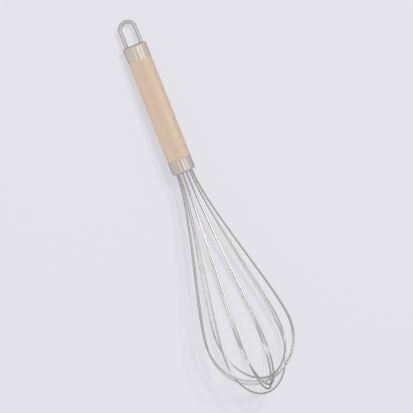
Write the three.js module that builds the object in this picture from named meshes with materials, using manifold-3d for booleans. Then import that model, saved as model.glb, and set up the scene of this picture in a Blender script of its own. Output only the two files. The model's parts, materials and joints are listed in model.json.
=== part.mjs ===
// A balloon whisk at rest on a table: a moulded grip between two drawn steel caps, six wire loops and a
// hanging loop. Millimetres, +Z up. The tip points along +X, and the origin is on the table under the middle.
import * as THREE from 'three';
import { mergeVertices } from 'three/addons/utils/BufferGeometryUtils.js';
import Module from 'manifold-3d';

const wasm = await Module();
wasm.setup();

// Fits and facets
const CLEARANCE = 0.3; // between any two pieces that meet
const ROUND_STEPS = 40; // facets round the handle
const HOLE_STEPS = 10; // facets round a wire's hole
const EDGE_STEPS = 4; // facets across a rounded edge

// Grip: the moulded handle between the two steel caps
const GRIP_LENGTH = 81.1;
const GRIP_DIAMETER = 18.5;
const GRIP_EDGE_RADIUS = 0.5;

// Rear cap: a drawn steel cup over the grip's rear neck
const CAP_LENGTH = 11.3;
const CAP_WALL = 0.8;
const CAP_STEP = 0.05; // how far the cap lies under the grip's surface
const CAP_EDGE_RADIUS = 1.4;

// Hanging loop: one bent wire, whose legs go through the cap's end and turn in behind the anchor
const LOOP_WIRE_DIAMETER = 2.8;
const LOOP_WIDTH = 11.8; // between the centres of its legs
const LOOP_REACH = 20; // from the cap's end face to the top of the loop
const LOOP_BEND_RADIUS = 3;
const LOOP_END_GAP = 2.4; // between the two turned-in ends
const LOOP_SIDES = 10;
const LOOP_STEPS = 52;

// Loop anchor: the plug in the rear cap that the turned-in legs pull against
const ANCHOR_WALL = 2;

// Front ferrule: a drawn steel cup over the grip's front neck, open at the front for the wires
const FERRULE_LENGTH = 10.2;
const FERRULE_WALL = 0.75;
const FERRULE_STEP = 0.2; // how far the ferrule lies under the grip's surface
const FERRULE_EDGE_RADIUS = 1.5;
const MOUTH_CLEARANCE = 0.6; // between the wires and the edge of the mouth

// Wire holder: the drilled disc behind the ferrule's mouth
const HOLDER_THICKNESS = 4;
const HOLDER_RIM = 0.85; // material outside the holes

// Resin fill: holds the wires' tails in the grip's front socket
const TAIL_DEPTH = 10; // how far a wire goes into the resin
const RESIN_FLOOR = 2.5; // resin behind the wires' ends

// Whisk wires: nested loops of one shape, each reaching a step further than the last
const WIRE_DIAMETER = 1.3;
const WIRE_SIDES = 8;
const WIRE_STEPS = 66;
const BALLOON_RADIUS = 34.7; // to the wire's centre, at the widest point
const NOSE_LENGTH = 37.5; // from the widest point to the tip
const FIRST_REACH = 169.4; // from the ferrule's front to the innermost tip
const CLOSE_LOOPS = 3; // the innermost loops, whose tips lie close together
const CLOSE_STEP = 1.6; // between the tips of those loops
const REACH_STEP = 2.7; // between one tip and the next after them
const FLARE_LEAVING = 32.8; // pull of the flare's curve as it leaves the ferrule
const FLARE_ARRIVING = 23.7; // pull of the flare's curve as it meets the widest point
const NEST_ORDER = [1, 0, 3, 4, 5, 2]; // each loop's place from the innermost tip, going round
const FIRST_STRAND_ANGLE = 14.2; // degrees above the table's plane: the whisk lies on two strands

// Rest on the table
const STEEPEST_TILT = 45; // degrees, more than any such whisk lies at
const TILT_TOLERANCE = 1e-9; // radians

// Places along the whisk's axis, from the rear cap's end face
const gripRear = CAP_LENGTH + CLEARANCE;
const gripFront = gripRear + GRIP_LENGTH;
const ferruleRear = gripFront + CLEARANCE;
const ferruleFront = ferruleRear + FERRULE_LENGTH;
const anchorRear = CAP_WALL + CLEARANCE;
const anchorSlotFloor = anchorRear + ANCHOR_WALL;
const loopEndPlace = anchorSlotFloor + LOOP_BEND_RADIUS;
const anchorFront = loopEndPlace + LOOP_WIRE_DIAMETER / 2 + CLEARANCE;
const rearNeckEnd = anchorFront + CLEARANCE;
const holderFront = ferruleFront - FERRULE_WALL - CLEARANCE;
const holderRear = holderFront - HOLDER_THICKNESS;
const frontNeckEnd = holderRear - CLEARANCE;
const tailEnd = frontNeckEnd - TAIL_DEPTH;
const resinRear = tailEnd - CLEARANCE - RESIN_FLOOR;
const socketFloor = resinRear - CLEARANCE;

// Radii
const gripRadius = GRIP_DIAMETER / 2;
const capRadius = gripRadius - CAP_STEP;
const capBoreRadius = capRadius - CAP_WALL;
const rearNeckRadius = capBoreRadius - CLEARANCE;
const loopWireRadius = LOOP_WIRE_DIAMETER / 2;
const loopHoleRadius = loopWireRadius + CLEARANCE;
const ferruleRadius = gripRadius - FERRULE_STEP;
const ferruleBoreRadius = ferruleRadius - FERRULE_WALL;
const frontNeckRadius = ferruleBoreRadius - CLEARANCE;
const wireRadius = WIRE_DIAMETER / 2;
const wireHoleRadius = wireRadius + CLEARANCE;
const wireRingRadius = frontNeckRadius - HOLDER_RIM - wireHoleRadius;
const mouthRadius = wireRingRadius + wireRadius + MOUTH_CLEARANCE;
const socketRadius = wireRingRadius + wireHoleRadius;
const resinRadius = socketRadius - CLEARANCE;

// Finishes
const finish = {
  grip: { color: 0xd2bda4, roughness: 0.5, metalness: 0 },
  drawnSteel: { color: 0xc6c0b8, roughness: 0.16, metalness: 1 },
  wire: { color: 0xc2c0bd, roughness: 0.2, metalness: 1 },
  nylon: { color: 0x4a4846, roughness: 0.6, metalness: 0 },
  resin: { color: 0xb8a878, roughness: 0.4, metalness: 0 },
};

/** A named piece with a material of its own. */
function piece(name, geometry, look) {
  const mesh = new THREE.Mesh(geometry, new THREE.MeshStandardMaterial(look));
  mesh.name = name;
  return mesh;
}

/** Points of a quarter round in a (radius, place) outline, between two angles in degrees. */
function edgeArc(radius, place, edgeRadius, from, to) {
  return Array.from({ length: EDGE_STEPS + 1 }, (_, step) => {
    const angle = THREE.MathUtils.degToRad(from + ((to - from) * step) / EDGE_STEPS);
    return [radius + edgeRadius * Math.cos(angle), place + edgeRadius * Math.sin(angle)];
  });
}

/** A body turned about the X axis from an outline of (radius, place along X). */
function turned(outline) {
  const points = outline.map(([radius, place]) => new THREE.Vector2(radius, place));
  return new THREE.LatheGeometry(points, ROUND_STEPS).rotateZ(-Math.PI / 2);
}

/** A plain round bar along X at a given place across the axis. */
function bar(radius, from, to, sides, across = new THREE.Vector2(0, 0)) {
  const geometry = new THREE.CylinderGeometry(radius, radius, to - from, sides).rotateZ(-Math.PI / 2);
  return geometry.translate((from + to) / 2, across.x, across.y);
}

/** A round wire of one thickness along a path. */
function wireAlong(path, radius, sides, steps) {
  const corners = Array.from({ length: sides }, (_, side) => {
    const angle = ((side + 0.5) * 2 * Math.PI) / sides;
    return new THREE.Vector2(radius * Math.cos(angle), radius * Math.sin(angle));
  });
  const section = new THREE.Shape(corners);
  return new THREE.ExtrudeGeometry(section, { extrudePath: path, steps, bevelEnabled: false });
}

/** A solid that can be cut, from a closed geometry. */
function solidOf(geometry) {
  const bare = geometry.clone();
  bare.deleteAttribute('normal');
  bare.deleteAttribute('uv');
  const merged = mergeVertices(bare);
  const corners = merged.index.array;
  const whole = [];
  for (let i = 0; i < corners.length; i += 3) {
    const [a, b, c] = corners.slice(i, i + 3);
    if (a !== b && b !== c && c !== a) whole.push(a, b, c);
  }
  const mesh = new wasm.Mesh({
    numProp: 3,
    vertProperties: merged.attributes.position.array,
    triVerts: new Uint32Array(whole),
  });
  return new wasm.Manifold(mesh);
}

/** The body with every cutter taken out of it. */
function cut(body, cutters) {
  const mesh = cutters.reduce((left, cutter) => left.subtract(solidOf(cutter)), solidOf(body)).getMesh();
  const geometry = new THREE.BufferGeometry();
  geometry.setAttribute('position', new THREE.BufferAttribute(mesh.vertProperties, 3));
  geometry.setIndex(new THREE.BufferAttribute(mesh.triVerts, 1));
  geometry.computeVertexNormals();
  return geometry;
}

/** The angle of each loop's first strand, in radians round the axis from +Y towards +Z. */
const loopAngles = NEST_ORDER.map(
  (_, loop) => THREE.MathUtils.degToRad(FIRST_STRAND_ANGLE) + (loop * Math.PI) / NEST_ORDER.length,
);

/** The places of all the strands where they leave the ferrule, two to a loop. */
const strandPlaces = loopAngles.flatMap((angle) =>
  [angle, angle + Math.PI].map(
    (turn) => new THREE.Vector2(wireRingRadius * Math.cos(turn), wireRingRadius * Math.sin(turn)),
  ),
);

/** The two places where the hanging loop's legs go through the cap. */
const legPlaces = [-1, 1].map((side) => new THREE.Vector2((side * LOOP_WIDTH) / 2, 0));

/** The grip: a plain cylinder with a neck at each end, and a socket for the wires in its front neck. */
function makeGrip() {
  const shoulder = gripRadius - GRIP_EDGE_RADIUS;
  return turned([
    [0, rearNeckEnd],
    [rearNeckRadius, rearNeckEnd],
    [rearNeckRadius, gripRear],
    ...edgeArc(shoulder, gripRear + GRIP_EDGE_RADIUS, GRIP_EDGE_RADIUS, -90, 0),
    ...edgeArc(shoulder, gripFront - GRIP_EDGE_RADIUS, GRIP_EDGE_RADIUS, 0, 90),
    [frontNeckRadius, gripFront],
    [frontNeckRadius, frontNeckEnd],
    [socketRadius, frontNeckEnd],
    [socketRadius, socketFloor],
    [0, socketFloor],
  ]);
}

/** The rear cap: a cup with a rounded end edge and two holes for the hanging loop's legs. */
function makeRearCap() {
  const cup = turned([
    [0, 0],
    ...edgeArc(capRadius - CAP_EDGE_RADIUS, CAP_EDGE_RADIUS, CAP_EDGE_RADIUS, -90, 0),
    [capRadius, CAP_LENGTH],
    [capBoreRadius, CAP_LENGTH],
    [capBoreRadius, CAP_WALL],
    [0, CAP_WALL],
  ]);
  const holes = legPlaces.map((place) => bar(loopHoleRadius, -CAP_WALL, 2 * CAP_WALL, HOLE_STEPS, place));
  return cut(cup, holes);
}

/** The loop anchor: a plug with two leg holes and a slot behind them for the turned-in ends. */
function makeLoopAnchor() {
  const plug = bar(rearNeckRadius, anchorRear, anchorFront, ROUND_STEPS);
  const holes = legPlaces.map((place) =>
    bar(loopHoleRadius, anchorRear - CLEARANCE, anchorFront + CLEARANCE, HOLE_STEPS, place),
  );
  const slotDepth = anchorFront + CLEARANCE - anchorSlotFloor;
  const slot = new THREE.BoxGeometry(slotDepth, LOOP_WIDTH, 2 * loopHoleRadius);
  slot.translate(anchorSlotFloor + slotDepth / 2, 0, 0);
  return cut(plug, [...holes, slot]);
}

/** The hanging loop's centre line: a turned-in end, a leg, the round top, and back the same way. */
function hangingLoopPath() {
  const half = LOOP_WIDTH / 2;
  const topCentre = half + loopWireRadius - LOOP_REACH;
  const legEnd = loopEndPlace - LOOP_BEND_RADIUS;
  const inside = half - LOOP_BEND_RADIUS;
  const at = (x, y) => new THREE.Vector3(x, y, 0);
  const round = (start, corner, end) => {
    const pull = (4 / 3) * (Math.SQRT2 - 1);
    const first = start.clone().lerp(corner, pull);
    const second = end.clone().lerp(corner, pull);
    return new THREE.CubicBezierCurve3(start, first, second, end);
  };
  const path = new THREE.CurvePath();
  path.add(new THREE.LineCurve3(at(loopEndPlace, -LOOP_END_GAP / 2), at(loopEndPlace, -inside)));
  path.add(round(at(loopEndPlace, -inside), at(loopEndPlace, -half), at(legEnd, -half)));
  path.add(new THREE.LineCurve3(at(legEnd, -half), at(topCentre, -half)));
  path.add(round(at(topCentre, -half), at(topCentre - half, -half), at(topCentre - half, 0)));
  path.add(round(at(topCentre - half, 0), at(topCentre - half, half), at(topCentre, half)));
  path.add(new THREE.LineCurve3(at(topCentre, half), at(legEnd, half)));
  path.add(round(at(legEnd, half), at(loopEndPlace, half), at(loopEndPlace, inside)));
  path.add(new THREE.LineCurve3(at(loopEndPlace, inside), at(loopEndPlace, LOOP_END_GAP / 2)));
  return path;
}

/** The front ferrule: a cup with a rounded front edge and a round mouth. */
function makeFrontFerrule() {
  const shoulder = ferruleRadius - FERRULE_EDGE_RADIUS;
  return turned([
    [mouthRadius, ferruleFront - FERRULE_WALL],
    [ferruleBoreRadius, ferruleFront - FERRULE_WALL],
    [ferruleBoreRadius, ferruleRear],
    [ferruleRadius, ferruleRear],
    ...edgeArc(shoulder, ferruleFront - FERRULE_EDGE_RADIUS, FERRULE_EDGE_RADIUS, 0, 90),
    [mouthRadius, ferruleFront],
    [mouthRadius, ferruleFront - FERRULE_WALL],
  ]);
}

/** The wire holder: a disc with one hole for each strand. */
function makeWireHolder() {
  const disc = bar(frontNeckRadius, holderRear, holderFront, ROUND_STEPS);
  const holes = strandPlaces.map((place) =>
    bar(wireHoleRadius, holderRear - CLEARANCE, holderFront + CLEARANCE, HOLE_STEPS, place),
  );
  return cut(disc, holes);
}

/** The resin fill: a slug in the grip's socket, grooved where the wires' tails run. */
function makeResinFill() {
  const slug = bar(resinRadius, resinRear, frontNeckEnd, ROUND_STEPS);
  const grooves = strandPlaces.map((place) =>
    bar(wireHoleRadius, tailEnd - CLEARANCE, frontNeckEnd + CLEARANCE, HOLE_STEPS, place),
  );
  return cut(slug, grooves);
}

/** A whisk wire's centre line in its own plane: tail, flare, round nose, and back the same way. */
function wirePath(reach) {
  const tip = ferruleFront + reach;
  const widest = tip - NOSE_LENGTH;
  const pull = (4 / 3) * (Math.SQRT2 - 1);
  const sideOf = (side) => {
    const at = (x, out) => new THREE.Vector3(x, side * out, 0);
    return {
      tail: [at(tailEnd, wireRingRadius), at(ferruleFront, wireRingRadius)],
      flare: [
        at(ferruleFront, wireRingRadius),
        at(ferruleFront + FLARE_LEAVING, wireRingRadius),
        at(widest - FLARE_ARRIVING, BALLOON_RADIUS),
        at(widest, BALLOON_RADIUS),
      ],
      nose: [
        at(widest, BALLOON_RADIUS),
        at(widest + pull * NOSE_LENGTH, BALLOON_RADIUS),
        at(tip, pull * BALLOON_RADIUS),
        at(tip, 0),
      ],
    };
  };
  const near = sideOf(1);
  const far = sideOf(-1);
  const path = new THREE.CurvePath();
  path.add(new THREE.LineCurve3(...near.tail));
  path.add(new THREE.CubicBezierCurve3(...near.flare));
  path.add(new THREE.CubicBezierCurve3(...near.nose));
  path.add(new THREE.CubicBezierCurve3(...far.nose.reverse()));
  path.add(new THREE.CubicBezierCurve3(...far.flare.reverse()));
  path.add(new THREE.LineCurve3(...far.tail.reverse()));
  return path;
}

/** How far a loop reaches from the ferrule's front, by its place from the innermost tip. */
function reachOf(place) {
  const closeSteps = Math.min(place, CLOSE_LOOPS - 1);
  return FIRST_REACH + closeSteps * CLOSE_STEP + (place - closeSteps) * REACH_STEP;
}

/** One whisk wire, turned to its place round the axis. */
function makeWire(angle, loop) {
  const path = wirePath(reachOf(NEST_ORDER[loop]));
  const wire = wireAlong(path, wireRadius, WIRE_SIDES, WIRE_STEPS);
  const mesh = piece(`wire_loop_${loop + 1}`, wire, finish.wire);
  mesh.rotation.x = angle;
  return mesh;
}

/** The height of the lowest corner of some pieces, with the whisk's tip raised by an angle. */
function lowestCorner(meshes, tilt) {
  const corner = new THREE.Vector3();
  let lowest = Infinity;
  for (const mesh of meshes) {
    mesh.updateMatrix();
    const corners = mesh.geometry.attributes.position;
    for (let i = 0; i < corners.count; i += 1) {
      corner.fromBufferAttribute(corners, i).applyMatrix4(mesh.matrix);
      lowest = Math.min(lowest, corner.x * Math.sin(tilt) + corner.z * Math.cos(tilt));
    }
  }
  return lowest;
}

/** The tilt at which the rear cap and the lowest wires touch the table together, found by halving. */
function restTilt(cap, wires) {
  let low = 0;
  let high = THREE.MathUtils.degToRad(STEEPEST_TILT);
  while (high - low > TILT_TOLERANCE) {
    const middle = (low + high) / 2;
    if (lowestCorner([cap], middle) > lowestCorner(wires, middle)) low = middle;
    else high = middle;
  }
  return (low + high) / 2;
}

const rearCap = piece('rear_cap', makeRearCap(), finish.drawnSteel);
const wires = loopAngles.map(makeWire);
const loopWire = wireAlong(hangingLoopPath(), loopWireRadius, LOOP_SIDES, LOOP_STEPS);

// The whisk along its own axis, from the cap's end face
const whisk = new THREE.Group();
whisk.add(
  piece('grip', makeGrip(), finish.grip),
  rearCap,
  piece('loop_anchor', makeLoopAnchor(), finish.nylon),
  piece('hanging_loop', loopWire, finish.drawnSteel),
  piece('front_ferrule', makeFrontFerrule(), finish.drawnSteel),
  piece('wire_holder', makeWireHolder(), finish.nylon),
  piece('resin_fill', makeResinFill(), finish.resin),
  ...wires,
);

// Laid on the table, tip raised, with the origin under the middle of its box
whisk.rotation.y = -restTilt(rearCap, wires);
const part = new THREE.Group();
part.add(whisk);
part.updateMatrixWorld(true);
const box = new THREE.Box3().setFromObject(part, true);
const middle = box.getCenter(new THREE.Vector3());
whisk.position.set(-middle.x, -middle.y, -box.min.z);

export default part;
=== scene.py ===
"""A balloon whisk on a pale table, seen from above by a camera that leans back over its handle.

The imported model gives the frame: metres, +X from the hanging loop to the tip, +Z up. Each sub-assembly
of the whisk is a class, and works in the whisk's own axes: x along the handle from the rear cap's end
face, y across the table, and z square to both.
"""
import json
import logging
import math
from abc import ABC, abstractmethod
from dataclasses import dataclass, field, replace
from enum import Enum, IntEnum
from typing import Any, Mapping, Optional, Sequence, Union

import bmesh
import bpy
import numpy as np
from mathutils import Matrix, Vector


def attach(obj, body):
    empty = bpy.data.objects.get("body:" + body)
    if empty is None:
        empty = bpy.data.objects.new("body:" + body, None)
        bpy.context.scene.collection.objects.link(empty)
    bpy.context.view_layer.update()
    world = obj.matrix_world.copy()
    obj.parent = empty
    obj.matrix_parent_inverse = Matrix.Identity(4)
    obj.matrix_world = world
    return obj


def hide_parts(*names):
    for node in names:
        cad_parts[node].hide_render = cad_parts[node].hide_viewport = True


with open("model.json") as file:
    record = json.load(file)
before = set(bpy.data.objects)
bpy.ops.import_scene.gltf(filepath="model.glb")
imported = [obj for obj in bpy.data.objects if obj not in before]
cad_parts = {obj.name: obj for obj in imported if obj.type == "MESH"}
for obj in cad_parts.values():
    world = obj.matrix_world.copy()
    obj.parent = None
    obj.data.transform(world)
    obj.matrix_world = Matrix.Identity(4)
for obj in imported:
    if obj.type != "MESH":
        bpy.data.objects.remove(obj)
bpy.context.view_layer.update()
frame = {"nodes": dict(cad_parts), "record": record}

logger = logging.getLogger("whisk")

Triple = tuple[float, float, float]
Colour = Triple
Number = Union[float, int]
Piece = bpy.types.Object

BODY = "root"
END_FACE_MOUNT = "cap_end_face"
WIRE_MAP = "wire"
OPAQUE = 1.0
BARE_METAL = 1.0
NOISE_MIDDLE = 0.5
QUAD = 4
MERGE_DISTANCE = 1e-7
SHARP_EDGE = math.radians(35)
PAPER: Colour = (0.775, 0.768, 0.815)


class Slot(Enum):
    """The record's material slots, one for each kind of new piece."""

    GRIP = "grip_plastic"
    CAP_STEEL = "drawn_steel"
    LOOP_STEEL = "loop_steel"
    WIRE_STEEL = "wire_steel"


class MixSocket(IntEnum):
    """Places of a Mix node's colour sockets, whose names it repeats for each kind of value."""

    FACTOR = 0
    FIRST = 6
    SECOND = 7
    RESULT = 2


class Value:
    """A shader socket in an expression: each operator adds a Math node to the socket's graph."""

    def __init__(self, graph: "NodeGraph", socket: bpy.types.NodeSocket) -> None:
        """Keeps the graph and the socket."""
        self.graph = graph
        self.socket = socket

    def other(self, name: str) -> "Value":
        """Another output of the same node, by its name."""
        return Value(self.graph, self.socket.node.outputs[name])

    def apply(self, operation: str, *others: Union["Value", Number]) -> "Value":
        """Adds one Math node that takes this value first, and then the others."""
        inputs = dict(enumerate((self, *others)))
        return self.graph.add("ShaderNodeMath", {"operation": operation}, inputs)

    def __add__(self, other: Union["Value", Number]) -> "Value":
        """Sum."""
        return self.apply("ADD", other)

    def __radd__(self, other: Number) -> "Value":
        """Sum with a number first."""
        return self.graph.add("ShaderNodeMath", {"operation": "ADD"}, {0: other, 1: self})

    def __sub__(self, other: Union["Value", Number]) -> "Value":
        """Difference."""
        return self.apply("SUBTRACT", other)

    def __mul__(self, other: Union["Value", Number]) -> "Value":
        """Product."""
        return self.apply("MULTIPLY", other)


@dataclass(frozen=True)
class Pattern:
    """A noise pattern in a finish.

    Attributes:
        scale: its repeats over one unit of its place.
        detail: how many finer layers it has.
        gloss: how far the roughness swings with it.
        strength: of its bump.
        depth: of its bump, in metres.
    """

    scale: float
    detail: float
    gloss: float
    strength: float = 0.0
    depth: float = 0.0


class NodeGraph:
    """The node tree of one material or world, emptied and filled again."""

    def __init__(self, owner: Union[bpy.types.Material, bpy.types.World]) -> None:
        """Turns the owner's nodes on and empties its tree.

        Args:
            owner: the material or world.
        """
        owner.use_nodes = True
        self.tree = owner.node_tree
        self.tree.nodes.clear()

    def add(
        self,
        kind: str,
        settings: Optional[Mapping[str, Any]] = None,
        inputs: Optional[Mapping[Union[str, int], Any]] = None,
        output: Union[str, int] = 0,
    ) -> Optional[Value]:
        """Adds a node of any type.

        Args:
            kind: the node's type.
            settings: the node's own properties, set before its sockets.
            inputs: a number, a colour or a linked value for each socket, by name or place.
            output: the output to return, by name or place.

        Returns:
            That output, ready for an expression, or nothing for a node that has none.
        """
        node = self.tree.nodes.new(kind)
        for name, setting in (settings or {}).items():
            setattr(node, name, setting)
        for key, value in (inputs or {}).items():
            if isinstance(value, Value):
                self.tree.links.new(value.socket, node.inputs[key])
            else:
                node.inputs[key].default_value = value
        return Value(self, node.outputs[output]) if len(node.outputs) else None

    def place(self) -> Value:
        """Object coordinates."""
        return self.add("ShaderNodeTexCoord", None, None, "Object")

    def sight(self) -> tuple[Value, Value]:
        """Whether a ray comes from the camera, and whether it comes off or through a shiny surface."""
        camera = self.add("ShaderNodeLightPath", None, None, "Is Camera Ray")
        return camera, camera.other("Is Glossy Ray") + camera.other("Is Transmission Ray")

    def noise(self, place: Value, pattern: Pattern) -> Value:
        """A noise value from 0 to 1 over a place."""
        inputs = {"Vector": place, "Scale": pattern.scale, "Detail": pattern.detail}
        return self.add("ShaderNodeTexNoise", None, inputs, "Fac")

    def blend(self, factor: Value, first: Colour, second: Colour) -> Value:
        """A colour between two, by a factor."""
        inputs = {
            MixSocket.FACTOR: factor,
            MixSocket.FIRST: (*first, OPAQUE),
            MixSocket.SECOND: (*second, OPAQUE),
        }
        return self.add("ShaderNodeMix", {"data_type": "RGBA"}, inputs, MixSocket.RESULT)

    def step(self, value: Value, start: float, end: float) -> Value:
        """A smooth step of a value from 0 at the start to 1 at the end."""
        inputs = {"Value": value, "From Min": start, "From Max": end}
        return self.add("ShaderNodeMapRange", {"interpolation_type": "SMOOTHSTEP"}, inputs)

    def bump(self, height: Value, pattern: Pattern) -> Value:
        """A normal bumped by a pattern's noise."""
        inputs = {"Strength": pattern.strength, "Distance": pattern.depth, "Height": height}
        return self.add("ShaderNodeBump", None, inputs, "Normal")


@dataclass(frozen=True)
class WhiskAxis:
    """The whisk's own axes in the frame.

    Attributes:
        origin: the middle of the rear cap's end face.
        along: the unit vector from there to the tip.
    """

    origin: np.ndarray
    along: np.ndarray

    @classmethod
    def from_record(cls, record: Mapping[str, Any]) -> "WhiskAxis":
        """Reads the axes from the mount on the rear cap's end face."""
        mount = next(m for m in record["mounts"] if m["name"] == END_FACE_MOUNT)
        return cls(np.array(mount["pos_m"]), -np.array(mount["axis"]))

    @property
    def turn(self) -> np.ndarray:
        """The three axes as rows: along, across and square to both."""
        across = np.array([0.0, 1.0, 0.0])
        return np.stack([self.along, across, np.cross(self.along, across)])

    @property
    def tilt(self) -> float:
        """How far the tip is raised, in radians."""
        return math.asin(self.along[2])

    def to_frame(self, points: np.ndarray) -> np.ndarray:
        """Points from the whisk's own axes to the frame: origin + x along + y across + z square."""
        return points @ self.turn + self.origin

    def from_node(self, node: str) -> np.ndarray:
        """The corners of a CAD node in the whisk's own axes.

        Args:
            node: the node's name.

        Returns:
            The corners, one to a row.
        """
        mesh = frame["nodes"][node].data
        corners = np.empty(len(mesh.vertices) * 3)
        mesh.vertices.foreach_get("co", corners)
        return (corners.reshape(-1, 3) - self.origin) @ self.turn.T


@dataclass(frozen=True)
class Reach:
    """How far a CAD node reaches along the whisk and out from its axis."""

    start: float
    end: float
    radius: float

    @classmethod
    def of(cls, axis: WhiskAxis, node: str, beyond: float = 0.0) -> "Reach":
        """Measures a CAD node.

        Args:
            axis: the whisk's axes.
            node: the node's name.
            beyond: the radius within which corners are passed over.

        Returns:
            The reach of the other corners.
        """
        corners = axis.from_node(node)
        out = np.hypot(corners[:, 1], corners[:, 2])
        place = corners[out > beyond, 0]
        return cls(place.min(), place.max(), out.max())


def arc(centre: Sequence[float], radius: float, start: float, end: float, steps: int) -> np.ndarray:
    """Points of a round stretch: centre + radius (cos a, sin a), with a in degrees from start to end.

    Args:
        centre: the arc's centre.
        radius: its radius.
        start: the first angle.
        end: the last angle.
        steps: how many stretches it has.

    Returns:
        The points, one to a row.
    """
    angle = np.radians(np.linspace(start, end, steps + 1))
    return np.array(centre) + radius * np.stack([np.cos(angle), np.sin(angle)], axis=-1)


def even_path(points: np.ndarray, samples: int) -> tuple[np.ndarray, np.ndarray]:
    """A path taken again at even steps of its own length.

    Args:
        points: the path's points, close together on its curves.
        samples: how many points to give back.

    Returns:
        The new points, and how far along the path each one lies.
    """
    steps = np.linalg.norm(np.diff(points, axis=0), axis=1)
    distance = np.concatenate([[0.0], np.cumsum(steps)])
    wanted = np.linspace(0.0, distance[-1], samples)
    columns = [np.interp(wanted, distance, column) for column in points.T]
    return np.stack(columns, axis=-1), wanted


def ring_faces(rows: int, columns: int, closed: bool) -> np.ndarray:
    """Quads of a grid of rings: face (i, j) joins points j and j + 1 of ring i to those of ring i + 1.

    Args:
        rows: how many rings there are.
        columns: how many points a ring has.
        closed: whether the last ring joins the first.

    Returns:
        Four point numbers for each face.
    """
    bands = rows if closed else rows - 1
    ring, side = np.meshgrid(np.arange(bands), np.arange(columns), indexing="ij")
    next_ring = (ring + 1) % rows
    next_side = (side + 1) % columns
    corners = [ring * columns + side, ring * columns + next_side]
    corners += [next_ring * columns + next_side, next_ring * columns + side]
    return np.stack(corners, axis=-1).reshape(-1, QUAD)


def turned(outline: np.ndarray, sides: int) -> np.ndarray:
    """A surface of revolution: point (x, r) of the outline gives the ring (x, r cos a, r sin a).

    Args:
        outline: places along the axis and radii, one to a row.
        sides: how many points a ring has.

    Returns:
        The rings' points, ring by ring.
    """
    angle = np.linspace(0.0, 2 * np.pi, sides, endpoint=False)
    place = np.repeat(outline[:, :1], sides, axis=1)
    radius = outline[:, 1:]
    return np.stack([place, radius * np.cos(angle), radius * np.sin(angle)], axis=-1).reshape(-1, 3)


def swept(path: np.ndarray, radius: float, sides: int) -> np.ndarray:
    """A round wire along a flat path: path + radius (b cos a + n sin a).

    Here n is square to the path's plane, t runs along the path and b is t cross n.

    Args:
        path: points in the plane of x and y.
        radius: the wire's radius.
        sides: how many points a ring has.

    Returns:
        The rings' points, ring by ring.
    """
    centre = np.pad(path, ((0, 0), (0, 1)))
    tangent = np.gradient(centre, axis=0)
    tangent /= np.linalg.norm(tangent, axis=1, keepdims=True)
    normal = np.array([0.0, 0.0, 1.0])
    beside = np.cross(tangent, normal)
    angle = np.linspace(0.0, 2 * np.pi, sides, endpoint=False)[:, None]
    rings = beside[:, None, :] * np.cos(angle) + normal * np.sin(angle)
    return (centre[:, None, :] + radius * rings).reshape(-1, 3)


def make_piece(name: str, points: np.ndarray, faces: Sequence[Sequence[int]]) -> Piece:
    """A mesh object whose place is in its points, with poles closed and faces pointing outwards.

    Args:
        name: the piece's name.
        points: its points in the frame.
        faces: the point numbers of each face.

    Returns:
        The new object, in the scene.
    """
    mesh = bpy.data.meshes.new(name)
    mesh.from_pydata(points.tolist(), [], faces)
    work = bmesh.new()
    work.from_mesh(mesh)
    bmesh.ops.remove_doubles(work, verts=work.verts, dist=MERGE_DISTANCE)
    bmesh.ops.recalc_face_normals(work, faces=work.faces)
    work.to_mesh(mesh)
    work.free()
    smooth(mesh)
    piece = bpy.data.objects.new(name, mesh)
    bpy.context.scene.collection.objects.link(piece)
    return piece


def smooth(mesh: bpy.types.Mesh) -> None:
    """Shades a mesh smooth, apart from its sharp edges."""
    mesh.polygons.foreach_set("use_smooth", np.ones(len(mesh.polygons), dtype=bool))
    mesh.set_sharp_from_angle(angle=SHARP_EDGE)


def cut_away(piece: Piece, cutter: Piece) -> None:
    """Takes a cutter's solid out of a piece, and deletes the cutter.

    Args:
        piece: the piece, which gets a new mesh.
        cutter: the solid to take out.
    """
    modifier = piece.modifiers.new("cut", "BOOLEAN")
    modifier.operation = "DIFFERENCE"
    modifier.solver = "EXACT"
    modifier.object = cutter
    whole = piece.data
    depsgraph = bpy.context.evaluated_depsgraph_get()
    piece.data = bpy.data.meshes.new_from_object(piece.evaluated_get(depsgraph))
    piece.modifiers.clear()
    bpy.data.meshes.remove(whole)
    bpy.data.objects.remove(cutter)


def make_turned(name: str, axis: WhiskAxis, outline: np.ndarray, sides: int, closed: bool) -> Piece:
    """A turned piece on the whisk's axis.

    Args:
        name: the piece's name.
        axis: the whisk's axes.
        outline: places along the axis and radii.
        sides: facets round the axis.
        closed: whether the outline is a ring, and otherwise it starts and ends on the axis.

    Returns:
        The new object.
    """
    points = axis.to_frame(turned(outline, sides))
    return make_piece(name, points, ring_faces(len(outline), sides, closed).tolist())


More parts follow.
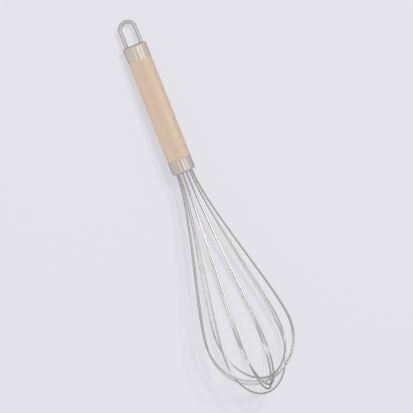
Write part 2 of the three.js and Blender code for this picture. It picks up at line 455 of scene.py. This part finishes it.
@dataclass(frozen=True)
class WireStock:
    """Round wire: its diameter, and the fineness of its mesh."""

    diameter: float
    sides: int
    samples: int

    @property
    def radius(self) -> float:
        """Half the diameter."""
        return self.diameter / 2

    def bent(self, name: str, axis: WhiskAxis, route: np.ndarray, angle: float) -> Piece:
        """A piece of this wire along a flat route, with a flat face on each end.

        Its UV map runs round the wire from 0 to 1, and along it in wire diameters.

        Args:
            name: the piece's name.
            axis: the whisk's axes.
            route: points in the route's plane, x along the whisk.
            angle: how far that plane is turned about the whisk's axis, from across towards up.

        Returns:
            The new object.
        """
        path, distance = even_path(route, self.samples)
        local = swept(path, self.radius, self.sides)
        cos, sin = math.cos(angle), math.sin(angle)
        turn = np.array([[1.0, 0.0, 0.0], [0.0, cos, sin], [0.0, -sin, cos]])
        walls = ring_faces(self.samples, self.sides, closed=False)
        first_end = np.arange(self.sides)
        ends = np.stack([first_end, first_end + (self.samples - 1) * self.sides])
        piece = make_piece(name, axis.to_frame(local @ turn), walls.tolist() + ends.tolist())
        self._unwrap(piece.data, distance)
        return piece

    def _unwrap(self, mesh: bpy.types.Mesh, distance: np.ndarray) -> None:
        """Gives the wire its UV map: u is the corner's place in its ring, v its ring's distance.

        The two ends keep one point of the map each.

        Args:
            mesh: the wire's mesh, whose points are in the order of its rings.
            distance: how far along the wire each ring lies.
        """
        corners = np.empty(len(mesh.loops), dtype=np.int32)
        mesh.loops.foreach_get("vertex_index", corners)
        ring, side = np.divmod(corners, self.sides)
        walls = QUAD * (self.samples - 1) * self.sides
        quads = side[:walls].reshape(-1, QUAD)
        wraps = np.ptp(quads, axis=1, keepdims=True) > 1
        unwrapped = np.where(wraps & (quads == 0), self.sides, quads).reshape(-1)
        around = np.concatenate([unwrapped, np.zeros(len(corners) - walls)]) / self.sides
        along = distance[ring] / self.diameter
        layer = mesh.uv_layers.new(name=WIRE_MAP)
        layer.data.foreach_set("uv", np.stack([around, along], axis=-1).ravel())


@dataclass(frozen=True)
class Finish(ABC):
    """A finish that makes one material.

    Attributes:
        name: the material's name.
        pale: its colour where its noise is high.
        deep: its colour where its noise is low.
        roughness: its middle roughness.
    """

    name: str
    pale: Colour
    deep: Colour
    roughness: float

    def material(self, axis: WhiskAxis) -> bpy.types.Material:
        """The finish as a new material.

        Args:
            axis: the whisk's axes, for patterns that follow the handle.

        Returns:
            The material.
        """
        material = bpy.data.materials.new(self.name)
        graph = NodeGraph(material)
        surface = graph.add("ShaderNodeBsdfPrincipled", None, self.sockets(graph, axis))
        graph.add("ShaderNodeOutputMaterial", None, {"Surface": surface})
        return material

    def gloss(self, *swings: tuple[Value, Pattern]) -> Value:
        """Roughness that swings about its middle: roughness + sum of (noise - middle) gloss.

        Args:
            swings: each noise with its pattern.

        Returns:
            The roughness.
        """
        level: Union[Value, float] = self.roughness
        for noise, pattern in swings:
            level = level + (noise - NOISE_MIDDLE) * pattern.gloss
        return level

    def follow(self, graph: NodeGraph, noise: Value, pattern: Pattern) -> dict[str, Any]:
        """Sockets for colour, roughness and bump that all follow one noise."""
        return {
            "Base Color": graph.blend(noise, self.deep, self.pale),
            "Roughness": self.gloss((noise, pattern)),
            "Normal": graph.bump(noise, pattern),
        }

    @abstractmethod
    def sockets(self, graph: NodeGraph, axis: WhiskAxis) -> dict[str, Any]:
        """The values and links of the shader's sockets.

        Args:
            graph: the material's graph.
            axis: the whisk's axes.

        Returns:
            A number, a colour or a linked value for each socket.
        """


def along_handle(graph: NodeGraph, axis: WhiskAxis, stretch: Triple = (1.0, 1.0, 1.0)) -> Value:
    """Object coordinates, stretched by axis and then turned by the handle's tilt."""
    inputs = {"Vector": graph.place(), "Rotation": (0.0, axis.tilt, 0.0), "Scale": stretch}
    return graph.add("ShaderNodeMapping", {"vector_type": "POINT"}, inputs)


@dataclass(frozen=True)
class SatinPlastic(Finish):
    """Smooth moulded plastic: a slow drift of tone, and a fine peel that breaks up its sheen."""

    refraction: float = 1.5
    drift: Pattern = Pattern(scale=42.0, detail=3.0, gloss=0.1)
    peel: Pattern = Pattern(scale=1500.0, detail=2.0, gloss=0.08, strength=0.12, depth=4e-5)

    def sockets(self, graph: NodeGraph, axis: WhiskAxis) -> dict[str, Any]:
        """Colour follows the drift, roughness both patterns, and bump the peel.

        Args:
            graph: the material's graph.
            axis: the whisk's axes.

        Returns:
            A number, a colour or a linked value for each socket.
        """
        place = graph.place()
        drift = graph.noise(place, self.drift)
        peel = graph.noise(place, self.peel)
        return {
            "Base Color": graph.blend(drift, self.deep, self.pale),
            "Roughness": self.gloss((drift, self.drift), (peel, self.peel)),
            "IOR": self.refraction,
            "Normal": graph.bump(peel, self.peel),
        }


@dataclass(frozen=True)
class PolishedSteel(Finish):
    """Drawn steel, polished on a spindle: faint lines run round it, over a slow change of gloss."""

    edge_tint: Colour
    line_stretch: Triple = (9000.0, 60.0, 60.0)
    line_share: float = 0.6
    lines: Pattern = Pattern(scale=1.0, detail=3.0, gloss=0.1, strength=0.06, depth=2e-5)
    cloud: Pattern = Pattern(scale=160.0, detail=3.0, gloss=0.08)

    def sockets(self, graph: NodeGraph, axis: WhiskAxis) -> dict[str, Any]:
        """Colour follows lines and cloud by their shares, roughness both, and bump the lines.

        Args:
            graph: the material's graph.
            axis: the whisk's axes.

        Returns:
            A number, a colour or a linked value for each socket.
        """
        lines = graph.noise(along_handle(graph, axis, self.line_stretch), self.lines)
        cloud = graph.noise(along_handle(graph, axis), self.cloud)
        tone = lines * self.line_share + cloud * (1 - self.line_share)
        return {
            "Base Color": graph.blend(tone, self.deep, self.pale),
            "Metallic": BARE_METAL,
            "Specular Tint": (*self.edge_tint, OPAQUE),
            "Roughness": self.gloss((lines, self.lines), (cloud, self.cloud)),
            "Normal": graph.bump(lines, self.lines),
        }


@dataclass(frozen=True)
class DrawnWire(Finish):
    """Steel wire pulled through a die: fine lines run along it.

    The noise is taken at (cos u, sin u) round the wire and v along it, so that it has no seam.
    """

    edge_tint: Colour
    lines_round: float = 9.0
    line_length: float = 0.04
    lines: Pattern = Pattern(scale=1.0, detail=3.0, gloss=0.12, strength=0.08, depth=1e-5)

    def sockets(self, graph: NodeGraph, axis: WhiskAxis) -> dict[str, Any]:
        """Colour, roughness and bump follow the lines.

        Args:
            graph: the material's graph.
            axis: the whisk's axes.

        Returns:
            A number, a colour or a linked value for each socket.
        """
        map_place = graph.add("ShaderNodeUVMap", {"uv_map": WIRE_MAP}, None, "UV")
        around = graph.add("ShaderNodeSeparateXYZ", None, {"Vector": map_place}, "X")
        angle = around * (2 * math.pi)
        inputs = {
            "X": angle.apply("COSINE") * self.lines_round,
            "Y": angle.apply("SINE") * self.lines_round,
            "Z": around.other("Y") * self.line_length,
        }
        lines = graph.noise(graph.add("ShaderNodeCombineXYZ", None, inputs), self.lines)
        metal = {"Metallic": BARE_METAL, "Specular Tint": (*self.edge_tint, OPAQUE)}
        return {**self.follow(graph, lines, self.lines), **metal}


@dataclass(frozen=True)
class MouldedNylon(Finish):
    """Dark filled nylon with a fine sparked grain."""

    grain: Pattern = Pattern(scale=2600.0, detail=4.0, gloss=0.2, strength=0.2, depth=3e-5)

    def sockets(self, graph: NodeGraph, axis: WhiskAxis) -> dict[str, Any]:
        """Colour, roughness and bump follow the grain."""
        return self.follow(graph, graph.noise(graph.place(), self.grain), self.grain)


@dataclass(frozen=True)
class CastResin(Finish):
    """Poured amber resin with a cloudy body and a glossy skin."""

    skin: float = 0.5
    cloud: Pattern = Pattern(scale=240.0, detail=4.0, gloss=0.1, strength=0.05, depth=1e-4)

    def sockets(self, graph: NodeGraph, axis: WhiskAxis) -> dict[str, Any]:
        """Colour, roughness and bump follow the cloud, under a clear skin."""
        cloud = graph.noise(graph.place(), self.cloud)
        return {**self.follow(graph, cloud, self.cloud), "Coat Weight": self.skin}


GRIP_FINISH = SatinPlastic(
    name="satin_beige",
    pale=(0.478, 0.367, 0.270),
    deep=(0.457, 0.346, 0.250),
    roughness=0.42,
)
CAP_FINISH = PolishedSteel(
    name="cap_steel",
    pale=(0.754, 0.670, 0.554),
    deep=(0.700, 0.615, 0.503),
    roughness=0.15,
    edge_tint=(0.5, 0.47, 0.43),
)
FERRULE_FINISH = replace(
    CAP_FINISH,
    name="ferrule_steel",
    pale=(0.679, 0.620, 0.537),
    deep=(0.630, 0.569, 0.488),
)
LOOP_FINISH = DrawnWire(
    name="loop_wire",
    pale=(0.590, 0.562, 0.548),
    deep=(0.523, 0.499, 0.485),
    roughness=0.14,
    edge_tint=(0.35, 0.34, 0.33),
)
WIRE_FINISH = DrawnWire(
    name="whisk_wire",
    pale=(0.537, 0.528, 0.486),
    deep=(0.479, 0.470, 0.432),
    roughness=0.19,
    edge_tint=(0.5, 0.49, 0.48),
)
NYLON_FINISH = MouldedNylon(
    name="dark_nylon",
    pale=(0.085, 0.080, 0.076),
    deep=(0.055, 0.052, 0.050),
    roughness=0.6,
)
RESIN_FINISH = CastResin(
    name="amber_resin",
    pale=(0.50, 0.42, 0.22),
    deep=(0.42, 0.33, 0.15),
    roughness=0.3,
)


@dataclass
class SubAssembly(ABC):
    """Pieces that belong together, placed on the whisk's axis."""

    axis: WhiskAxis

    @abstractmethod
    def build(self) -> list[Piece]:
        """Makes the meshes.

        Returns:
            The new pieces, each riding on its body and standing for its CAD node.
        """

    @abstractmethod
    def dress(self) -> None:
        """Gives each piece its material."""

    def settle(self, piece: Piece, node: str, slot: Slot) -> Piece:
        """Lets a piece ride on the body and stand for its CAD node.

        Args:
            piece: the new piece.
            node: the CAD node it stands for.
            slot: its material slot; not used.

        Returns:
            The same piece.
        """
        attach(piece, BODY)
        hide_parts(node)
        return piece

    def coat(self, pieces: Sequence[Piece], finish: Finish) -> None:
        """Gives several new pieces one material.

        Args:
            pieces: the pieces.
            finish: what the material is made from.
        """
        material = finish.material(self.axis)
        for piece in pieces:
            piece.data.materials.append(material)

    def coat_node(self, node: str, finish: Finish) -> None:
        """Gives a CAD node that stays its material.

        Args:
            node: the node's name.
            finish: what the material is made from.
        """
        material = finish.material(self.axis)
        for slot in frame["nodes"][node].material_slots:
            slot.material = material


@dataclass
class Grip(SubAssembly):
    """The moulded handle: a plain cylinder with a neck at each end for the steel caps.

    Attributes:
        edge_radius: the rounding of its two shoulders.
        rear_neck_radius: the neck inside the rear cap.
        front_neck_radius: the neck inside the front ferrule.
        socket_radius: the socket in the front neck, for the wires' tails.
        socket_depth: how deep that socket is.
        edge_steps: stretches across a rounded shoulder.
        sides: facets round it.
        grip: the piece, once it is built.
    """

    edge_radius: float = 0.0005
    rear_neck_radius: float = 0.0081
    front_neck_radius: float = 0.0080
    socket_radius: float = 0.00715
    socket_depth: float = 0.0131
    edge_steps: int = 6
    sides: int = 160
    grip: Piece = field(init=False)

    def build(self) -> list[Piece]:
        """Turns the grip from its outline.

        Returns:
            The grip alone.
        """
        whole = Reach.of(self.axis, "grip")
        body = Reach.of(self.axis, "grip", beyond=self.rear_neck_radius + self.edge_radius / 2)
        shoulder = body.radius - self.edge_radius
        rear_edge = (body.start + self.edge_radius, shoulder)
        front_edge = (body.end - self.edge_radius, shoulder)
        socket_floor = whole.end - self.socket_depth
        outline = np.concatenate(
            [
                [(whole.start, 0.0), (whole.start, self.rear_neck_radius)],
                [(body.start, self.rear_neck_radius)],
                arc(rear_edge, self.edge_radius, 180, 90, self.edge_steps),
                arc(front_edge, self.edge_radius, 90, 0, self.edge_steps),
                [(body.end, self.front_neck_radius), (whole.end, self.front_neck_radius)],
                [(whole.end, self.socket_radius), (socket_floor, self.socket_radius)],
                [(socket_floor, 0.0)],
            ]
        )
        self.grip = make_turned("grip_body", self.axis, outline, self.sides, closed=False)
        return [self.settle(self.grip, "grip", Slot.GRIP)]

    def dress(self) -> None:
        """Dresses the grip in satin plastic."""
        self.coat([self.grip], GRIP_FINISH)


@dataclass
class RearEnd(SubAssembly):
    """The rear cap with the hanging loop through it, and the anchor inside that holds the loop.

    Attributes:
        wall: the cap's sheet.
        edge_radius: the rounding of its end edge.
        lip_radius: the rounding of its open edge.
        seam: the hairline between cap and grip.
        hole_clearance: round each leg of the loop.
        loop_wire: the loop's wire.
        loop_width: between the middles of its legs.
        bend_radius: of its turned-in ends.
        end_gap: between those ends.
        edge_steps: stretches across a rounded edge.
        sides: facets round the cap.
        cap: the cap, once it is built.
        loop: the loop, once it is built.
    """

    wall: float = 0.0008
    edge_radius: float = 0.0014
    lip_radius: float = 0.00015
    seam: float = 0.00008
    hole_clearance: float = 0.0001
    loop_wire: WireStock = WireStock(diameter=0.0028, sides=24, samples=300)
    loop_width: float = 0.0118
    bend_radius: float = 0.003
    end_gap: float = 0.0024
    edge_steps: int = 12
    sides: int = 160
    cap: Piece = field(init=False)
    loop: Piece = field(init=False)

    def build(self) -> list[Piece]:
        """Turns the cap, bores it for the loop's legs and bends the loop.

        Returns:
            The cap and the loop.
        """
        self.cap = self._turn_cap()
        self.loop = self.loop_wire.bent("hanging_loop_wire", self.axis, self._loop_route(), 0.0)
        for side in (-1, 1):
            self._bore_leg(side * self.loop_width / 2)
        smooth(self.cap.data)
        return [
            self.settle(self.cap, "rear_cap", Slot.CAP_STEEL),
            self.settle(self.loop, "hanging_loop", Slot.LOOP_STEEL),
        ]

    def _turn_cap(self) -> Piece:
        """The cup, from its end face over the rounded edge to the open edge, and back inside.

        Returns:
            The cap, not yet bored.
        """
        cap = Reach.of(self.axis, "rear_cap")
        grip = Reach.of(self.axis, "grip", beyond=cap.radius)
        mouth = grip.start - self.seam
        bore = cap.radius - self.wall
        end_edge = (cap.start + self.edge_radius, cap.radius - self.edge_radius)
        lip = (mouth - self.lip_radius, cap.radius - self.lip_radius)
        outline = np.concatenate(
            [
                [(cap.start, 0.0)],
                arc(end_edge, self.edge_radius, 180, 90, self.edge_steps),
                arc(lip, self.lip_radius, 90, 0, self.edge_steps),
                [(mouth, bore), (cap.start + self.wall, bore), (cap.start + self.wall, 0.0)],
            ]
        )
        return make_turned("rear_cap_shell", self.axis, outline, self.sides, closed=False)

    def _bore_leg(self, place: float) -> None:
        """Cuts one leg's hole through the cap's end.

        Args:
            place: the leg's place across the whisk.
        """
        radius = self.loop_wire.radius + self.hole_clearance
        before, after = -self.wall, 2 * self.wall
        outline = np.array([(before, 0.0), (before, radius), (after, radius), (after, 0.0)])
        local = turned(outline, self.loop_wire.sides) + np.array([0.0, place, 0.0])
        faces = ring_faces(len(outline), self.loop_wire.sides, closed=False)
        drill = make_piece("leg_drill", self.axis.to_frame(local), faces.tolist())
        cut_away(self.cap, drill)

    def _loop_route(self) -> np.ndarray:
        """The loop's middle line: a turned-in end, a leg, the round top, and back the same way.

        Returns:
            The route's points.
        """
        loop = Reach.of(self.axis, "hanging_loop")
        half = self.loop_width / 2
        end_place = loop.end - self.loop_wire.radius
        top_centre = loop.start + self.loop_wire.radius + half
        bend = (end_place - self.bend_radius, half - self.bend_radius)
        steps = 4 * self.edge_steps
        turned_in = arc(bend, self.bend_radius, 0, 90, steps)
        leg = np.concatenate([[(end_place, self.end_gap / 2)], turned_in])
        top = arc((top_centre, 0.0), half, 90, 270, 2 * steps)
        mirrored = leg[::-1] * np.array([1.0, -1.0])
        return np.concatenate([leg, top, mirrored])

    def dress(self) -> None:
        """Dresses the cap in spun steel, the loop in bright wire and the anchor in nylon."""
        self.coat([self.cap], CAP_FINISH)
        self.coat([self.loop], LOOP_FINISH)
        self.coat_node("loop_anchor", NYLON_FINISH)


@dataclass
class FrontEnd(SubAssembly):
    """The front ferrule, with the wire holder behind its mouth and the resin behind that.

    Attributes:
        wall: the ferrule's sheet.
        lip_radius: the rounding that turns its front edge in to the mouth.
        rim_radius: the rounding of its rear edge.
        seam: the hairline between ferrule and grip.
        edge_steps: stretches across a rounded edge.
        sides: facets round it.
        ferrule: the piece, once it is built.
    """

    wall: float = 0.00075
    lip_radius: float = 0.0016
    rim_radius: float = 0.00015
    seam: float = 0.00008
    edge_steps: int = 14
    sides: int = 160
    ferrule: Piece = field(init=False)

    def build(self) -> list[Piece]:
        """Turns the ferrule from a ring of even thickness.

        Returns:
            The ferrule alone.
        """
        ferrule = Reach.of(self.axis, "front_ferrule")
        grip = Reach.of(self.axis, "grip", beyond=ferrule.radius)
        rear = grip.end + self.seam
        lip = (ferrule.end - self.lip_radius, ferrule.radius - self.lip_radius)
        rim = (rear + self.rim_radius, ferrule.radius - self.rim_radius)
        outline = np.concatenate(
            [
                arc(rim, self.rim_radius, 180, 90, self.edge_steps),
                arc(lip, self.lip_radius, 90, 0, self.edge_steps),
                arc(lip, self.lip_radius - self.wall, 0, 90, self.edge_steps),
                [(rear, ferrule.radius - self.wall)],
            ]
        )
        self.ferrule = make_turned("front_ferrule_shell", self.axis, outline, self.sides, closed=True)
        return [self.settle(self.ferrule, "front_ferrule", Slot.CAP_STEEL)]

    def dress(self) -> None:
        """Dresses the ferrule in its own spun steel, the holder in nylon and the fill in resin."""
        self.coat([self.ferrule], FERRULE_FINISH)
        self.coat_node("wire_holder", NYLON_FINISH)
        self.coat_node("resin_fill", RESIN_FINISH)


@dataclass
class Balloon(SubAssembly):
    """The six whisk wires: nested loops, each in its own plane through the axis.

    Attributes:
        loops: how many there are.
        wire: their wire.
        ring_radius: of the ring in which they leave the ferrule.
        flare_leaving: pull of the flare's curve as it leaves the ferrule.
        flare_arriving: pull of that curve as it meets the widest point.
        nose_length: from the widest point to the tip.
        curve_steps: points on each curve before the even steps are taken.
        wires: the loops, once they are built.
    """

    loops: int = 6
    wire: WireStock = WireStock(diameter=0.0013, sides=16, samples=560)
    ring_radius: float = 0.0062
    flare_leaving: float = 0.0328
    flare_arriving: float = 0.0237
    nose_length: float = 0.0375
    curve_steps: int = 600
    wires: list[Piece] = field(init=False)

    def build(self) -> list[Piece]:
        """Bends the wires.

        Returns:
            The six loops.
        """
        self.wires = [self._bend(f"wire_loop_{loop + 1}") for loop in range(self.loops)]
        return self.wires

    def _bend(self, node: str) -> Piece:
        """One loop in place of its CAD node, in the plane that the node lies in."""
        piece = self.wire.bent(f"{node}_bent", self.axis, self._route(node), self._plane(node))
        return self.settle(piece, node, Slot.WIRE_STEEL)

    def _plane(self, node: str) -> float:
        """The angle of a loop's plane: the main direction of its corners round the axis.

        Args:
            node: the loop's CAD node.

        Returns:
            The angle from across towards up, in radians.
        """
        corners = self.axis.from_node(node)[:, 1:]
        direction = np.linalg.eigh(corners.T @ corners)[1][:, -1]
        return math.atan2(direction[1], direction[0])

    def _route(self, node: str) -> np.ndarray:
        """A loop's middle line in its plane.

        The tail is straight. The flare is a cubic curve of four points a to d,
        (1-t)^3 a + 3(1-t)^2 t b + 3(1-t) t^2 c + t^3 d. The nose is a quarter ellipse,
        (widest + nose sin a, radius cos a). The other half is the same line mirrored.

        Args:
            node: the CAD node that gives the loop's reach and width.

        Returns:
            The route's points.
        """
        wire = Reach.of(self.axis, node)
        front = Reach.of(self.axis, "front_ferrule").end
        radius = wire.radius - self.wire.radius
        widest = wire.end - self.wire.radius - self.nose_length
        pulls = [(front, self.ring_radius), (front + self.flare_leaving, self.ring_radius)]
        pulls += [(widest - self.flare_arriving, radius), (widest, radius)]
        share = np.linspace(0.0, 1.0, self.curve_steps)
        weights = [(1 - share) ** 3, 3 * (1 - share) ** 2 * share, 3 * (1 - share) * share**2, share**3]
        flare = np.stack(weights, axis=-1) @ np.array(pulls)
        turn = share[1:] * np.pi / 2
        nose = np.stack([widest + self.nose_length * np.sin(turn), radius * np.cos(turn)], axis=-1)
        half = np.concatenate([[(wire.start, self.ring_radius)], flare, nose])
        return np.concatenate([half, half[-2::-1] * np.array([1.0, -1.0])])

    def dress(self) -> None:
        """Dresses all the loops in one bright wire."""
        self.coat(self.wires, WIRE_FINISH)


@dataclass(frozen=True)
class Table:
    """The pale table top.

    Attributes:
        colour: its colour, which is also the picture's background.
        half_width: how far it reaches each way.
        even_share: how much of what the camera sees is that even colour. The rest is lit, and keeps the
            shadow.
        mirror_share: the same for what shiny surfaces show of it.
        lit_share: the lit part's colour as a share of the table's. Under the lamps the two match.
    """

    colour: Colour = PAPER
    half_width: float = 7.0
    even_share: float = 0.78
    mirror_share: float = 0.5
    lit_share: float = 0.45

    def lay(self) -> Piece:
        """Lays the table top at the frame's zero height, where the whisk rests.

        Returns:
            The table.
        """
        corner = np.array([(-1.0, -1.0, 0.0), (1.0, -1.0, 0.0), (1.0, 1.0, 0.0), (-1.0, 1.0, 0.0)])
        mesh = bpy.data.meshes.new("table_top")
        mesh.from_pydata((corner * self.half_width).tolist(), [], [(0, 1, 2, 3)])
        mesh.materials.append(self._paper())
        table = bpy.data.objects.new("table_top", mesh)
        bpy.context.scene.collection.objects.link(table)
        return table

    def _paper(self) -> bpy.types.Material:
        """Matt paper, seen by the camera and in the steel partly as an even colour.

        Returns:
            The table's material.
        """
        material = bpy.data.materials.new("table_paper")
        graph = NodeGraph(material)
        paper = tuple(self.lit_share * channel for channel in self.colour)
        lit = graph.add("ShaderNodeBsdfDiffuse", None, {"Color": (*paper, OPAQUE)})
        even = graph.add("ShaderNodeEmission", None, {"Color": (*self.colour, OPAQUE)})
        camera, shiny = graph.sight()
        share = (camera * self.even_share).apply("MAXIMUM", shiny * self.mirror_share)
        surface = graph.add("ShaderNodeMixShader", None, {0: share, 1: lit, 2: even})
        graph.add("ShaderNodeOutputMaterial", None, {"Surface": surface})
        return material


def lean(back: float, right: float) -> Vector:
    """The unit vector along (-tan back, tan right, 1), which leans so many degrees to -X and +Y."""
    rearward, sideward = math.tan(math.radians(back)), math.tan(math.radians(right))
    return Vector((-rearward, sideward, 1.0)).normalized()


def facing(outward: Vector) -> tuple[Vector, Vector]:
    """The axes of a plane that faces outward: as nearly along +X as it allows, and across that."""
    along = (Vector((1.0, 0.0, 0.0)) - outward.x * outward).normalized()
    return along, outward.cross(along)


def turned_to(*axes: Vector) -> Matrix:
    """The turn that brings X, Y and Z to three axes."""
    return Matrix(axes).transposed().to_4x4()


class Lit(Enum):
    """What a lamp lights."""

    ALL = "all"
    GRIP = "grip"
    LOOP = "loop"
    WIRES = "wires"
    TABLE = "table"


@dataclass(frozen=True)
class Softbox:
    """A soft lamp that faces the whisk.

    Attributes:
        name: the lamp's name.
        length: of its side along the whisk.
        width: of its other side.
        radiance: how bright its face is, where 1 is white.
        across: the angle from straight above towards +Y, in degrees.
        rearward: the angle from straight above towards -X, in degrees.
        distance: from the whisk's middle.
        shades: whether it lights matt surfaces.
        gleams: whether shiny surfaces reflect it.
        lit: what it lights.
    """

    name: str
    length: float
    width: float
    radiance: float
    across: float = 0.0
    rearward: float = 0.0
    distance: float = 1.6
    shades: bool = True
    gleams: bool = True
    lit: Lit = Lit.ALL

    def hang(self, receivers: Mapping[Lit, bpy.types.Collection]) -> None:
        """Hangs the lamp, hidden from the camera.

        Args:
            receivers: the collection for each kind of lamp that doesn't light everything.
        """
        outward = lean(self.rearward, self.across)
        along, across = facing(outward)
        lamp = bpy.data.lights.new(self.name, "AREA")
        lamp.shape = "RECTANGLE"
        lamp.size = self.length
        lamp.size_y = self.width
        lamp.energy = self.radiance * math.pi * self.length * self.width
        holder = bpy.data.objects.new(self.name, lamp)
        turn = turned_to(along, across, outward)
        holder.matrix_world = Matrix.Translation(outward * self.distance) @ turn
        holder.visible_camera = False
        holder.visible_diffuse = self.shades
        holder.visible_glossy = self.gleams
        if self.lit in receivers:
            holder.light_linking.receiver_collection = receivers[self.lit]
        bpy.context.scene.collection.objects.link(holder)


@dataclass(frozen=True)
class Sky:
    """The room's light, which is nearly even.

    The camera and shiny surfaces see the table's colour there instead.

    Attributes:
        overhead: its colour straight above.
        horizon: its colour at the table's height.
        rise: the height on the unit sphere at which the overhead colour is reached.
    """

    overhead: Colour = (0.70, 0.70, 0.70)
    horizon: Colour = (0.60, 0.60, 0.60)
    rise: float = 0.6

    def spread(self) -> None:
        """Makes the world."""
        world = bpy.data.worlds.new("room")
        graph = NodeGraph(world)
        place = graph.add("ShaderNodeTexCoord", None, None, "Generated")
        height = graph.add("ShaderNodeSeparateXYZ", None, {"Vector": place}, "Z")
        colour = graph.blend(graph.step(height, 0.0, self.rise), self.horizon, self.overhead)
        light, backdrop = (
            graph.add("ShaderNodeBackground", None, {"Color": shown})
            for shown in (colour, (*PAPER, OPAQUE))
        )
        camera, shiny = graph.sight()
        surface = graph.add("ShaderNodeMixShader", None, {0: camera + shiny, 1: light, 2: backdrop})
        graph.add("ShaderNodeOutputWorld", None, {"Surface": surface})
        bpy.context.scene.world = world


@dataclass(frozen=True)
class ProductCamera:
    """A camera with a long lens that looks down at the table, leaning back over the handle.

    Attributes:
        distance: from the point it aims at.
        pixels: the picture's width and height.
        scale: pixels to a metre at that point.
        aim: the point of the table in the picture's middle.
        heading: from straight down the picture to the whisk's direction, in degrees anticlockwise.
        lean_back: how far it stands from straight above towards the handle's end, in degrees.
        lean_right: how far it stands from straight above towards +Y, in degrees.
        sensor: the camera's sensor, in millimetres.
    """

    distance: float = 2.5
    pixels: int = 413
    scale: float = 1304.5
    aim: tuple[float, float] = (0.00656, 0.0063)
    heading: float = 21.55
    lean_back: float = 11.5
    lean_right: float = -0.77
    sensor: float = 36.0

    def place(self) -> None:
        """Puts the scene's camera over the table."""
        outward = lean(self.lean_back, self.lean_right)
        along, across = facing(outward)
        cos, sin = math.cos(math.radians(self.heading)), math.sin(math.radians(self.heading))
        turn = turned_to(along * sin + across * cos, across * sin - along * cos, outward)
        data = bpy.data.cameras.new("product_camera")
        data.sensor_width = self.sensor
        data.lens = self.sensor * self.distance * self.scale / self.pixels
        camera = bpy.data.objects.new("product_camera", data)
        aim = Vector((*self.aim, 0.0))
        camera.matrix_world = Matrix.Translation(aim + outward * self.distance) @ turn
        bpy.context.scene.collection.objects.link(camera)
        bpy.context.scene.camera = camera


SOFTBOXES = (
    # Two small, far lamps give the whisk its pair of faint shadows.
    Softbox(
        name="first_shadow", length=0.28, width=0.28, radiance=690.0, across=16.7, rearward=25.5,
        distance=4.0, gleams=False, lit=Lit.TABLE,
    ),
    Softbox(
        name="second_shadow", length=0.28, width=0.28, radiance=500.0, across=26.0, rearward=24.0,
        distance=4.0, gleams=False, lit=Lit.TABLE,
    ),
    # These light the handle from above and from both sides.
    Softbox(
        name="key", length=0.42, width=0.42, radiance=20.7, across=15.0, rearward=24.0,
        gleams=False, lit=Lit.GRIP,
    ),
    Softbox(
        name="left_fill", length=1.2, width=0.5, radiance=7.3, across=-70.0, gleams=False,
        lit=Lit.GRIP,
    ),
    Softbox(
        name="right_fill", length=1.2, width=0.5, radiance=3.4, across=77.0, lit=Lit.GRIP,
    ),
    Softbox(
        name="grip_sheen", length=0.9, width=1.0, radiance=3.2, across=45.0, shades=False,
        lit=Lit.GRIP,
    ),
    # The wires and the hanging loop reflect these.
    Softbox(
        name="rear_wall", length=0.7, width=4.0, radiance=2.1, rearward=32.0, shades=False,
        lit=Lit.WIRES,
    ),
    Softbox(
        name="front_window", length=0.25, width=1.6, radiance=3.6, rearward=-27.0, shades=False,
        lit=Lit.WIRES,
    ),
    Softbox(
        name="loop_window", length=1.2, width=1.2, radiance=0.4, shades=False, lit=Lit.LOOP,
    ),
    # Everything shiny reflects these, which are the bright lines on the caps.
    Softbox(
        name="key_strip", length=0.9, width=0.2, radiance=1.05, across=19.0, shades=False,
    ),
    Softbox(
        name="right_window", length=0.9, width=0.8, radiance=0.33, across=50.0, shades=False,
    ),
    Softbox(
        name="left_strip", length=0.9, width=0.2, radiance=0.44, across=-21.0, shades=False,
    ),
)


def main() -> None:
    """Builds the whisk, then the table, the camera and the light around it."""
    logging.basicConfig(level=logging.INFO, format="%(name)s: %(message)s")
    bpy.context.scene.view_settings.view_transform = "Standard"
    ProductCamera().place()
    axis = WhiskAxis.from_record(frame["record"])
    handle, rear, balloon = Grip(axis), RearEnd(axis), Balloon(axis)
    for assembly in (handle, rear, FrontEnd(axis), balloon):
        for piece in assembly.build():
            logger.info("%s: %d faces", piece.name, len(piece.data.polygons))
        assembly.dress()
    chosen = {
        Lit.GRIP: [handle.grip],
        Lit.LOOP: [rear.loop],
        Lit.WIRES: balloon.wires,
        Lit.TABLE: [Table().lay()],
    }
    receivers: dict[Lit, bpy.types.Collection] = {}
    for lit, pieces in chosen.items():
        receivers[lit] = bpy.data.collections.new(f"{lit.value}_lamps")
        for piece in pieces:
            receivers[lit].objects.link(piece)
    for softbox in SOFTBOXES:
        softbox.hang(receivers)
    Sky().spread()


if __name__ == "__main__":
    main()
